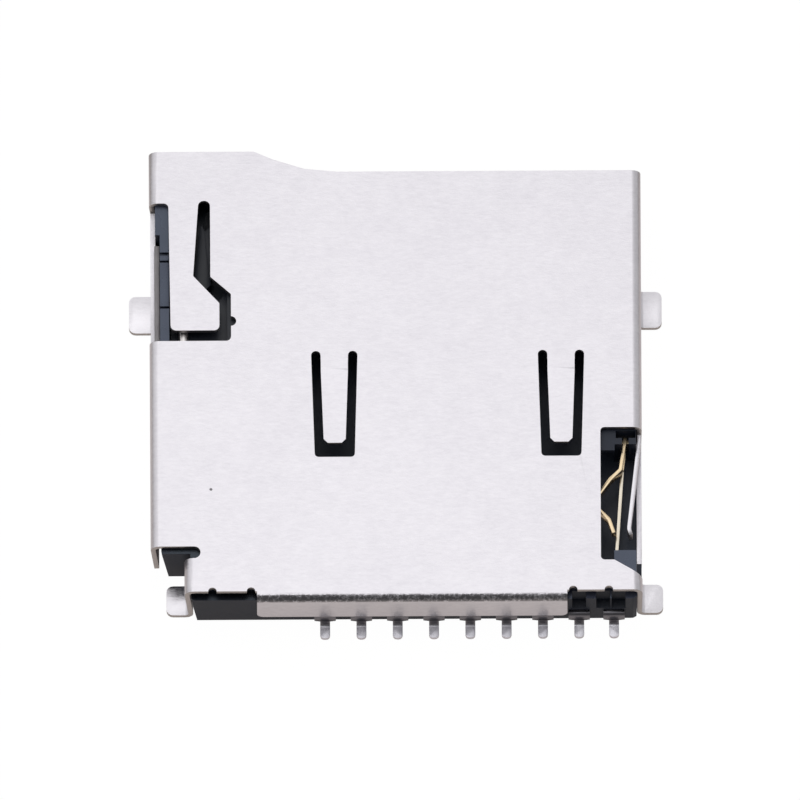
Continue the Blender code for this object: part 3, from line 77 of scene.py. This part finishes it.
# Floor: paper white to the camera, and seen in metal only near the object
FLOOR_SIZE = 400 * MM
FLOOR_DROP = 0.004 * MM
FLOOR_PAPER = (0.58, 0.545, 0.51)
FLOOR_SEEN = 0.93
FLOOR_GLOW = 1.06
FLOOR_MIRRORED = 0.38
GLOW_SEEN = (1, 1, 1)
GLOW_MIRRORED = (1, 0.92, 0.88)
MIRROR_FADE = (14.0, 11.5)

# Studio: the sky's brightness by direction, and one large soft lamp over the front
BRIGHTEST = Vector((0.35, -0.42, 0.837))
SKY_COLOUR = (1.0, 0.995, 1.0, 1)
SKY_REAR = 0.11
SKY_SIDES = 0.42
SKY_OVERHEAD = 0.27
REAR_TO_SIDES = (0.5, -0.2)
TOWARDS_BRIGHTEST = (0.45, 1.0)
LAMP_SIZE = 70 * MM
LAMP_PLACE = Vector((7 * MM, -17 * MM, 87 * MM))
LAMP_POWER = 0.0064

# Softened edges
SHEET_EDGE = 0.04 * MM
PLASTIC_EDGE = 0.025 * MM
CONTACT_EDGE = 0.014 * MM
MERGE = 0.001 * MM
FLAT_ANGLE = math.radians(0.5)
EDGE_ANGLE = math.radians(38)
SMOOTH_ANGLE = math.radians(32)
WIRE_SMOOTH_ANGLE = math.radians(75)

# Darker and paler tone of each finish
PLATE = (0.72, 0.70, 0.745), (0.92, 0.90, 0.94)
CUT_EDGE = (0.42, 0.395, 0.385), (0.72, 0.68, 0.66)
# Painted shade: the grey of the wall's inner face and rib, standing for the shaded floor in
# the gap
GAP_SHADE_PLATE = (0.22, 0.21, 0.22), (0.46, 0.44, 0.45)
MOULDING = (0.010, 0.016, 0.032), (0.023, 0.034, 0.062)
# Painted light: the moulding's top faces as a paler, bluer lit copy of the moulding
MOULDING_TOP_PAINTED_LIT = (0.052, 0.060, 0.094), (0.105, 0.116, 0.165)
SLIDER_MOULDING = (0.013, 0.017, 0.027), (0.027, 0.033, 0.050)
WIRE = (0.80, 0.77, 0.76), (0.95, 0.91, 0.90)
# Painted shade: the terminal stems much darker than the feet
STEM_TIN_PAINTED_SHADE = (0.20, 0.195, 0.215), (0.36, 0.35, 0.38)
FOOT_TIN = (0.74, 0.73, 0.79), (0.94, 0.93, 0.99)
BEAM_GOLD = (0.80, 0.60, 0.26), (0.90, 0.74, 0.42)
LEAF_GOLD = (0.76, 0.56, 0.33), (0.98, 0.84, 0.60)
LEG_GOLD = (0.64, 0.57, 0.46), (0.84, 0.78, 0.67)

# Single colours, and the gloss and painted blue sheen of the moulding's top
PIT = (0.16, 0.15, 0.16)
# Painted reflection: the dark grey of the stippled line along the rear flap's bend
BEND_PAINTED_REFLECTION = (0.34, 0.33, 0.35)
# Painted shadow: the moulding's top near the notch, under the plate
NOTCH_TOP_PAINTED_SHADOW = (0.010, 0.012, 0.018)
TOP_GLOSS_AND_PAINTED_SHEEN = {"IOR": 1.65, "Specular Tint": (0.72, 0.84, 1.0, 1.0)}

# Where a finish starts to change and where it has changed, in millimetres
TABS_PAINTED_PALER_BELOW = (0.35, 0.15)
FLAP_BEHIND = (6.97, 7.17)
BEND_BEHIND = (7.03, 7.09)
BEND_ABOVE = (1.62, 1.70)
FOOT_BELOW = (0.18, 0.12)
BEAM_TO_TIN = (5.6, 5.85)
LEG_TO_TIN = (6.0, 6.2)
LEAF_ABOVE = (0.99, 1.05)
BESIDE_NOTCH = (3.0, 2.0)
BEFORE_NOTCH = (4.4, 4.0)

# Faces that take another finish, by place in millimetres and by the way they face
SHEET_TOP = 1.85
SHEET_UNDER = 1.70
TAB_TOP = 0.15
WALL_FOOT = 0.27
REAR_EDGE = 6.96
MECHANISM_WALL = 7.1
UPPER_FACES = 1.4
SWITCH_FRONT_BLOCK = (-6.0, 2.3)
NEAR = 0.02
SQUARE_ON = 0.9
EDGE_ON = 0.2

# Hairline gaps beside the moulding, in millimetres
SWITCH_SIDE = (-7.275, -7.23)
SWITCH_SIDE_TOP = 1.5
SWITCH_SIDE_GAP = 0.022
LEDGE = (7.135, 7.16)
LEDGE_OUTER = 7.151
LEDGE_TOP = 0.22
LEDGE_REACH = 7.186
BLOCK_CUT = 5.29
BLOCK_CUT_NEAR = 0.01
BLOCK_CUT_FROM = 6.9
LATCH_REAR = 4.62
RECESS_FACE = 7.15
RECESS_NEAR = 0.002
RECESS_SHIFT = -0.02

# Rib beside the mechanism's wall, painted shade that stands for the shaded floor seen through
# the gap, in millimetres
RIB_LOW = Vector((7.125, -4.81, 0.7))
RIB_HIGH = Vector((7.30, -1.3, 1.42))
RIB_LEAN = 0.05
RIB_ROUND = 0.03

CONTACT_COUNT = 8

# Sockets of a Mix node that carry colours
MIX_FIRST = 6
MIX_SECOND = 7
MIX_RESULT = 2


class Value:
    """A socket of a shader that takes ordinary arithmetic."""

    def __init__(self, finish, socket):
        self.finish = finish
        self.socket = socket

    def outputs(self):
        """All outputs of the node that this socket belongs to."""
        return [Value(self.finish, output) for output in self.socket.node.outputs]

    def __add__(self, other):
        return self.finish.maths("ADD", self, other)

    def __sub__(self, other):
        return self.finish.maths("SUBTRACT", self, other)

    def __rsub__(self, other):
        return self.finish.maths("SUBTRACT", other, self)

    def __gt__(self, other):
        return self.finish.maths("GREATER_THAN", self, other)

    def __lt__(self, other):
        return self.finish.maths("LESS_THAN", self, other)

    def __mul__(self, other):
        return self.finish.maths("MULTIPLY", self, other)

    __radd__ = __add__
    __rmul__ = __mul__


def opaque(colour):
    """A colour as a socket takes it, whether plain numbers or already a socket."""
    return colour if isinstance(colour, Value) else (*colour, 1)


class Nodes:
    """The nodes of a material or of the world."""

    def __init__(self, owner):
        owner.use_nodes = True
        self.nodes = owner.node_tree.nodes
        self.links = owner.node_tree.links

    def connect(self, value, socket):
        if isinstance(value, Value):
            self.links.new(value.socket, socket)
        else:
            socket.default_value = value

    def node(self, kind, settings=None, inputs=None, output=0):
        made = self.nodes.new(kind)
        for name, setting in (settings or {}).items():
            setattr(made, name, setting)
        for name, value in (inputs or {}).items():
            self.connect(value, made.inputs[name])
        return Value(self, made.outputs[output])

    def maths(self, operation, *values):
        settings = {"operation": operation}
        return self.node("ShaderNodeMath", settings, dict(enumerate(values)))

    def split(self, vector):
        return self.node("ShaderNodeSeparateXYZ", {}, {0: vector}).outputs()

    def ramp(self, value, low, high, top=1.0):
        """Smooth step of a value, from 0 where it is low to top where it is high."""
        settings = {"interpolation_type": "SMOOTHSTEP"}
        inputs = {"Value": value, "From Min": low, "From Max": high, "To Max": top}
        return self.node("ShaderNodeMapRange", settings, inputs)


class Finish(Nodes):
    """One material, and the nodes that make it."""

    def __init__(self, name):
        self.material = bpy.data.materials.new(name)
        super().__init__(self.material)
        self.shader = self.nodes["Principled BSDF"]
        self.place = self.node("ShaderNodeTexCoord", output="Object")

    def axes(self):
        """X, Y and Z of the surface point, in millimetres."""
        return [axis * (1 / MM) for axis in self.split(self.place)]

    def stretched(self, x, y, z):
        """The surface point with its axes scaled, for a pattern that runs one way."""
        settings = {"operation": "MULTIPLY"}
        return self.node("ShaderNodeVectorMath", settings, {0: self.place, 1: (x, y, z)})

    def noise(self, size, detail=2.0, roughness=0.5, place=None):
        """Noise from 0 to 1 whose blotches are about size across."""
        inputs = {
            "Vector": place or self.place,
            "Scale": 1 / size,
            "Detail": detail,
            "Roughness": roughness,
        }
        return self.node("ShaderNodeTexNoise", {"noise_dimensions": "3D"}, inputs)

    def specks(self, spacing, size):
        """1 on small scattered spots up to size across, spacing apart, and 0 elsewhere."""
        inputs = {"Vector": self.place, "Scale": 1 / spacing}
        distance, colour = self.node("ShaderNodeTexVoronoi", {}, inputs).outputs()[:2]
        chance = self.split(colour)[0]
        return distance * spacing < chance * chance * chance * (size / 2)

    def blend(self, share, first, second):
        """Colour from first to second."""
        inputs = {0: share, MIX_FIRST: opaque(first), MIX_SECOND: opaque(second)}
        return self.node("ShaderNodeMix", {"data_type": "RGBA"}, inputs, MIX_RESULT)

    def bump(self, height, depth, below=None):
        """Normal bent by a height from 0 to 1 that stands for depth."""
        inputs = {"Height": height, "Distance": depth, "Strength": 1.0}
        if below:
            inputs["Normal"] = below
        return self.node("ShaderNodeBump", {}, inputs)

    def finish(self, colour, roughness, metallic, normal=None, **fixed):
        made = {"Base Color": opaque(colour), "Roughness": roughness, "Metallic": metallic}
        if normal:
            made["Normal"] = normal
        for name, value in (made | fixed).items():
            self.connect(value, self.shader.inputs[name])
        return self.material


def plated_steel():
    """Satin nickel on pressed steel: grain across, faint clouds, a few pits, a wavy bend with
    a painted dark reflection along it, and tabs painted paler as painted light.
    """
    steel = Finish("Plated steel")
    y, z = steel.axes()[1:]
    clouds = steel.noise(2.6 * MM, 3)
    patches = steel.noise(0.5 * MM, 3, 0.6)
    rolled = steel.noise(0.09 * MM, 3, 0.7, steel.stretched(0.35, 1, 1))
    grain = steel.noise(0.035 * MM, 2, 0.7)
    bend_ripple = steel.noise(0.1 * MM, 3, 0.6)
    wave = steel.noise(1.1 * MM, 3, 0.6, steel.stretched(1, 0.3, 0.3))
    pits = steel.specks(1.9 * MM, 0.12 * MM)
    bend = steel.ramp(y, *BEND_BEHIND) * steel.ramp(z, *BEND_ABOVE)

    tone = (clouds * 0.25 + patches * 0.2 + rolled * 0.55 - 0.5) * 2 + 0.5
    # Painted light: the tabs near the floor are painted paler than the rest of the plate.
    plate = steel.blend(tone + steel.ramp(z, *TABS_PAINTED_PALER_BELOW) * 0.5, *PLATE)
    colour = steel.blend(pits * 0.75, plate, PIT)
    # Painted reflection: a dark stippled line along the rear flap's bend.
    colour = steel.blend(bend * steel.ramp(bend_ripple, 0.66, 0.44), colour, BEND_PAINTED_REFLECTION)

    roughness = 0.27 + clouds * 0.05 + rolled * 0.08 + pits * 0.3
    normal = steel.bump((wave - 0.5) * steel.ramp(y, *FLAP_BEHIND), 0.10 * MM)
    normal = steel.bump(bend_ripple * bend, 0.02 * MM, normal)
    normal = steel.bump(rolled * 0.6 + grain * 0.4, 0.008 * MM, normal)
    return steel.finish(colour, roughness, 1.0, normal)


def sheared_steel():
    """Bare cut edge of the sheet: duller, with fine lines along the cut's depth."""
    steel = Finish("Sheared steel")
    lines = steel.noise(0.05 * MM, 2, 0.6, steel.stretched(1, 1, 0.1))
    clouds = steel.noise(0.4 * MM, 2)
    colour = steel.blend(lines * 0.6 + clouds * 0.4, *CUT_EDGE)
    return steel.finish(colour, 0.38 + clouds * 0.1, 1.0, steel.bump(lines, 0.003 * MM))


def gap_shade_steel():
    """Duller grey plate, painted shade that stands for the shaded floor seen through the gap
    beside the mechanism's wall, with lines along the wall.
    """
    steel = Finish("Steel painted as gap shade")
    clouds = steel.noise(0.3 * MM, 3)
    lines = steel.noise(0.05 * MM, 2, 0.6, steel.stretched(1, 0.1, 1))
    colour = steel.blend(clouds * 0.5 + lines * 0.5, *GAP_SHADE_PLATE)
    return steel.finish(colour, 0.55, 0.8, steel.bump(lines, 0.004 * MM))


def mould_marks(plastic):
    """Soft clouds in a moulding, and the fine grain of its surface."""
    grain = plastic.noise(0.045 * MM, 3, 0.6)
    return plastic.noise(0.9 * MM, 3), plastic.bump(grain, 0.004 * MM)


def moulded_plastic(name, tones, roughness):
    """Dark moulding with a fine grain, slightly uneven gloss and a paler bloom in patches."""
    plastic = Finish(name)
    clouds, normal = mould_marks(plastic)
    fibres = plastic.noise(0.12 * MM, 2, 0.6, plastic.stretched(1, 0.25, 1))
    shade = plastic.blend(clouds * 0.6 + fibres * 0.4, *tones)
    gloss = roughness + clouds * 0.12 + fibres * 0.06
    return plastic.finish(shade, gloss, 0.0, normal)


def painted_lit_moulding_top():
    """Top of the moulding: glossier, and painted paler and bluer as painted light beside the
    windows with a painted blue sheen, and dark at the notch as painted shadow.
    """
    plastic = Finish("Black moulding, painted lit top")
    x, y = plastic.axes()[:2]
    clouds, normal = mould_marks(plastic)
    # Painted light: the top faces paler and bluer than the rest of the moulding.
    painted_lit = plastic.blend(clouds, *MOULDING_TOP_PAINTED_LIT)
    away = plastic.ramp(x, *BESIDE_NOTCH) + plastic.ramp(y, *BEFORE_NOTCH)
    # Painted shadow near the notch, painted light elsewhere on the top.
    shade = plastic.blend(away, NOTCH_TOP_PAINTED_SHADOW, painted_lit)
    return plastic.finish(shade, 0.22 + clouds * 0.1, 0.0, normal, **TOP_GLOSS_AND_PAINTED_SHEEN)


def drawn_marks(metal):
    """Faint lines along a strip or a wire, and the bend that they give its surface."""
    drawn = metal.noise(0.04 * MM, 2, 0.6, metal.stretched(1, 0.15, 1))
    return drawn, metal.bump(drawn, 0.0012 * MM)


def drawn_wire():
    """Drawn steel wire with faint lines along its length and soft clouds."""
    metal = Finish("Drawn wire")
    clouds = metal.noise(0.5 * MM, 3)
    drawn, normal = drawn_marks(metal)
    shade = metal.blend(clouds * 0.7 + drawn * 0.3, *WIRE)
    return metal.finish(shade, 0.25 + clouds * 0.1, 1.0, normal)


def tinned(metal, mottle, height):
    """Tin on a terminal: painted shade makes its stem dark, and its foot is bright tin."""
    shaded_stem = metal.blend(mottle, *STEM_TIN_PAINTED_SHADE)
    foot = metal.blend(mottle, *FOOT_TIN)
    return metal.blend(metal.ramp(height, *FOOT_BELOW), shaded_stem, foot)


def contact_plate():
    """Tin on the terminal and gold on the beam that meets the card."""
    metal = Finish("Contact plate")
    y, z = metal.axes()[1:]
    clouds = metal.noise(0.3 * MM, 3)
    drawn, normal = drawn_marks(metal)
    mottle = clouds * 0.6 + drawn * 0.4
    terminal = metal.ramp(y, *BEAM_TO_TIN)
    gold = metal.blend(mottle, *BEAM_GOLD)
    colour = metal.blend(terminal, gold, tinned(metal, mottle, z))
    return metal.finish(colour, 0.24 + terminal * 0.1 + clouds * 0.1, 1.0, normal)


def switch_plate():
    """Gold on the switch leaf, worn pale on the leg, tin on the terminal."""
    metal = Finish("Switch plate")
    y, z = metal.axes()[1:]
    clouds = metal.noise(0.35 * MM, 3)
    drawn, normal = drawn_marks(metal)
    mottle = clouds * 0.6 + drawn * 0.4
    terminal = metal.ramp(y, *LEG_TO_TIN)
    leg = metal.blend(mottle, *LEG_GOLD)
    leaf = metal.blend(mottle, *LEAF_GOLD)
    gold = metal.blend(metal.ramp(z, *LEAF_ABOVE), leg, leaf)
    colour = metal.blend(terminal, gold, tinned(metal, mottle, z))
    return metal.finish(colour, 0.22 + terminal * 0.1 + clouds * 0.1, 1.0, normal)


def only(obj):
    """Selects one object and nothing else."""
    bpy.ops.object.select_all(action="DESELECT")
    obj.select_set(True)
    bpy.context.view_layer.objects.active = obj


def merged_copy(node, body):
    """A copy of a node with its loose triangles joined up, which stands for it."""
    piece = frame["nodes"][node].copy()
    piece.data = frame["nodes"][node].data.copy()
    piece.name = node + "_finished"
    piece.parent = None
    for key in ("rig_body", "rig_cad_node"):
        del piece[key]
    bpy.context.scene.collection.objects.link(piece)
    only(piece)
    bpy.ops.object.mode_set(mode="EDIT")
    bpy.ops.mesh.select_all(action="SELECT")
    bpy.ops.mesh.remove_doubles(threshold=MERGE)
    bpy.ops.mesh.dissolve_limited(angle_limit=FLAT_ANGLE)
    bpy.ops.object.mode_set(mode="OBJECT")
    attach(piece, body)
    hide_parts(node)
    return piece


def apply(piece, kind, **settings):
    """Adds a modifier and makes it part of the mesh."""
    modifier = piece.modifiers.new(kind, kind)
    for name, value in settings.items():
        setattr(modifier, name, value)
    bpy.ops.object.modifier_apply(modifier=modifier.name)


def soften(piece, width, segments=2, finish=-1):
    """Rounds the edges, in the finish of that number if given, and keeps flat faces flat."""
    settings = {"limit_method": "ANGLE", "angle_limit": EDGE_ANGLE, "material": finish}
    apply(piece, "BEVEL", width=width, segments=segments, **settings)
    bpy.ops.object.shade_smooth_by_angle(angle=SMOOTH_ANGLE)
    apply(piece, "WEIGHTED_NORMAL", mode="FACE_AREA", keep_sharp=True)


def coat(piece, *finishes):
    piece.data.materials.clear()
    for finish in finishes:
        piece.data.materials.append(finish)


def mark_cut_faces(shell):
    """Second finish on the sheet's cut edges, third, a painted shade, inside the mechanism's
    wall.
    """
    for face in shell.data.polygons:
        x, y, z = face.center / MM
        level = abs(face.normal.z)
        through_plate = SHEET_UNDER < z < SHEET_TOP and level < EDGE_ON
        through_tab = z < TAB_TOP and level < EDGE_ON
        wall_foot = abs(z - WALL_FOOT) < NEAR and level > SQUARE_ON
        wall_end = abs(face.normal.y) > SQUARE_ON and y < REAR_EDGE + NEAR
        if through_plate or through_tab or wall_foot or wall_end:
            face.material_index = 1
        # Painted shade on the inside of the mechanism's wall.
        if face.normal.x < -SQUARE_ON and x > MECHANISM_WALL:
            face.material_index = 2


def make_sheet_piece(*finishes):
    shell = merged_copy("shell", "base")
    coat(shell, *finishes)
    mark_cut_faces(shell)
    soften(shell, SHEET_EDGE, finish=1)


def make_gap_shade_rib(gap_shade_finish):
    """Rib on the mechanism's wall, seen through the window beside the moulding: painted shade
    that stands for the shaded floor in the gap.
    """
    middle = (RIB_LOW + RIB_HIGH) / 2
    size = RIB_HIGH - RIB_LOW
    bpy.ops.object.select_all(action="DESELECT")
    bpy.ops.mesh.primitive_cube_add(size=MM, location=middle * MM, scale=size)
    rib = bpy.context.object
    rib.name = "gap_shade_rib"
    bpy.ops.object.transform_apply(location=True, rotation=True, scale=True)
    for vertex in rib.data.vertices:
        if vertex.co.z < middle.z * MM:
            vertex.co.x -= RIB_LEAN * MM
    coat(rib, gap_shade_finish)
    soften(rib, RIB_ROUND * MM, 3)
    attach(rib, "base")


def close_gaps(housing):
    """Sets the moulding's sides close to the shell walls, so that no floor shows between and
    the dark moulding stands in as painted shade in those gaps.
    """
    for vertex in housing.data.vertices:
        x, y, z = vertex.co / MM
        at_cut = abs(y - BLOCK_CUT) < BLOCK_CUT_NEAR
        on_ledge = LEDGE[0] < x < LEDGE[1] and z < LEDGE_TOP
        if SWITCH_SIDE[0] < x < SWITCH_SIDE[1] and z < SWITCH_SIDE_TOP:
            vertex.co.x -= SWITCH_SIDE_GAP * MM
        if at_cut and x > BLOCK_CUT_FROM:
            vertex.co.y = LATCH_REAR * MM
        if on_ledge and (at_cut or x > LEDGE_OUTER):
            vertex.co.x = LEDGE_REACH * MM
        if abs(x - RECESS_FACE) < RECESS_NEAR:
            vertex.co.x += RECESS_SHIFT * MM


def mark_upper_faces(housing):
    """Second finish, the top painted as lit, on the top of the moulding, but not in front of
    the switch.
    """
    for face in housing.data.polygons:
        x, y, z = face.center / MM
        before_switch = x < SWITCH_FRONT_BLOCK[0] and y < SWITCH_FRONT_BLOCK[1]
        if face.normal.z > SQUARE_ON and z > UPPER_FACES and not before_switch:
            face.material_index = 1


def make_moulding(node, body, *finishes):
    piece = merged_copy(node, body)
    coat(piece, *finishes)
    if node == "housing":
        close_gaps(piece)
        mark_upper_faces(piece)
    soften(piece, PLASTIC_EDGE)


def make_contact(node, metal):
    piece = merged_copy(node, "base")
    coat(piece, metal)
    soften(piece, CONTACT_EDGE)


def make_wire(node, body, metal):
    """Round wire, finer than the solid's facets."""
    piece = merged_copy(node, body)
    coat(piece, metal)
    apply(piece, "SUBSURF", levels=1, render_levels=1)
    bpy.ops.object.shade_smooth_by_angle(angle=WIRE_SMOOTH_ANGLE)
    return piece


def make_camera():
    data = bpy.data.cameras.new("Camera")
    camera = bpy.data.objects.new("Camera", data)
    bpy.context.scene.collection.objects.link(camera)
    bpy.context.scene.camera = camera
    data.type = "ORTHO"
    data.ortho_scale = IMAGE_SIZE / PIXELS_PER_MM * MM
    azimuth, elevation = math.radians(CAMERA_AZIMUTH), math.radians(CAMERA_ELEVATION)
    level = math.cos(elevation)
    back = Vector((math.sin(azimuth) * level, -math.cos(azimuth) * level, math.sin(elevation)))
    camera.location = IMAGE_CENTRE_ON_COVER + back * CAMERA_DISTANCE
    camera.rotation_mode = "QUATERNION"
    roll = Quaternion((0, 0, 1), math.radians(-CAMERA_ROLL))
    camera.rotation_quaternion = (-back).to_track_quat("-Z", "Y") @ roll
    data.clip_start = MM
    data.clip_end = CAMERA_DISTANCE * 10


def make_floor():
    """Pale floor that the camera sees as paper white, with a trace of the object's shadow."""
    bpy.ops.mesh.primitive_plane_add(size=FLOOR_SIZE, location=(0, 0, -FLOOR_DROP))
    floor = bpy.context.object
    floor.name = "floor"
    paper = Finish("Floor paper")
    coat(floor, paper.finish(FLOOR_PAPER, 0.9, 0.0))
    glossy = paper.node("ShaderNodeLightPath", output="Is Glossy Ray")
    colour = paper.blend(glossy, GLOW_SEEN, GLOW_MIRRORED)
    glow = paper.node("ShaderNodeEmission", {}, {"Color": colour, "Strength": FLOOR_GLOW})
    seen = paper.node("ShaderNodeLightPath", output="Is Camera Ray") * FLOOR_SEEN
    x, y = paper.axes()[:2]
    distance = paper.maths("SQRT", x * x + y * y)
    mirrored = glossy * paper.ramp(distance, *MIRROR_FADE) * FLOOR_MIRRORED
    inputs = {0: seen + mirrored, 1: Value(paper, paper.shader.outputs[0]), 2: glow}
    mixed = paper.node("ShaderNodeMixShader", {}, inputs)
    paper.connect(mixed, paper.nodes["Material Output"].inputs["Surface"])


def make_sky():
    """Bright overhead toward the front, fair at the sides and dim behind the camera."""
    world = bpy.data.worlds.new("Studio")
    bpy.context.scene.world = world
    sky = Nodes(world)
    direction = sky.node("ShaderNodeTexCoord", output="Generated")
    settings, inputs = {"operation": "DOT_PRODUCT"}, {0: direction, 1: BRIGHTEST}
    towards = sky.node("ShaderNodeVectorMath", settings, inputs, "Value")
    back = sky.split(direction)[1]
    level = sky.ramp(back, *REAR_TO_SIDES, SKY_SIDES) + SKY_REAR
    level = level + sky.ramp(towards, *TOWARDS_BRIGHTEST, SKY_OVERHEAD)
    background = sky.nodes["Background"]
    sky.connect(SKY_COLOUR, background.inputs["Color"])
    sky.connect(level, background.inputs["Strength"])


def make_lamp():
    data = bpy.data.lights.new("Soft overhead", "AREA")
    data.size = LAMP_SIZE
    data.energy = LAMP_POWER
    lamp = bpy.data.objects.new("Soft overhead", data)
    lamp.location = LAMP_PLACE
    lamp.rotation_mode = "QUATERNION"
    lamp.rotation_quaternion = (-LAMP_PLACE).to_track_quat("-Z", "Y")
    bpy.context.scene.collection.objects.link(lamp)


def main():
    bpy.context.scene.view_settings.view_transform = "Standard"
    moulding = moulded_plastic("Black moulding", MOULDING, roughness=0.40)
    slider_moulding = moulded_plastic("Slider moulding", SLIDER_MOULDING, roughness=0.30)
    gap_shade_finish = gap_shade_steel()
    contact_metal = contact_plate()
    wire = drawn_wire()
    make_sheet_piece(plated_steel(), sheared_steel(), gap_shade_finish)
    make_gap_shade_rib(gap_shade_finish)
    make_moulding("housing", "base", moulding, painted_lit_moulding_top())
    make_moulding("slider", "carriage", slider_moulding)
    for number in range(1, CONTACT_COUNT + 1):
        make_contact(f"contact_{number}", contact_metal)
    make_contact("detect_contact", switch_plate())
    make_wire("cam_rod", "follower", wire)
    spring = make_wire("eject_spring", "base", wire)
    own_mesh(spring)
    make_camera()
    make_floor()
    make_sky()
    make_lamp()


main()
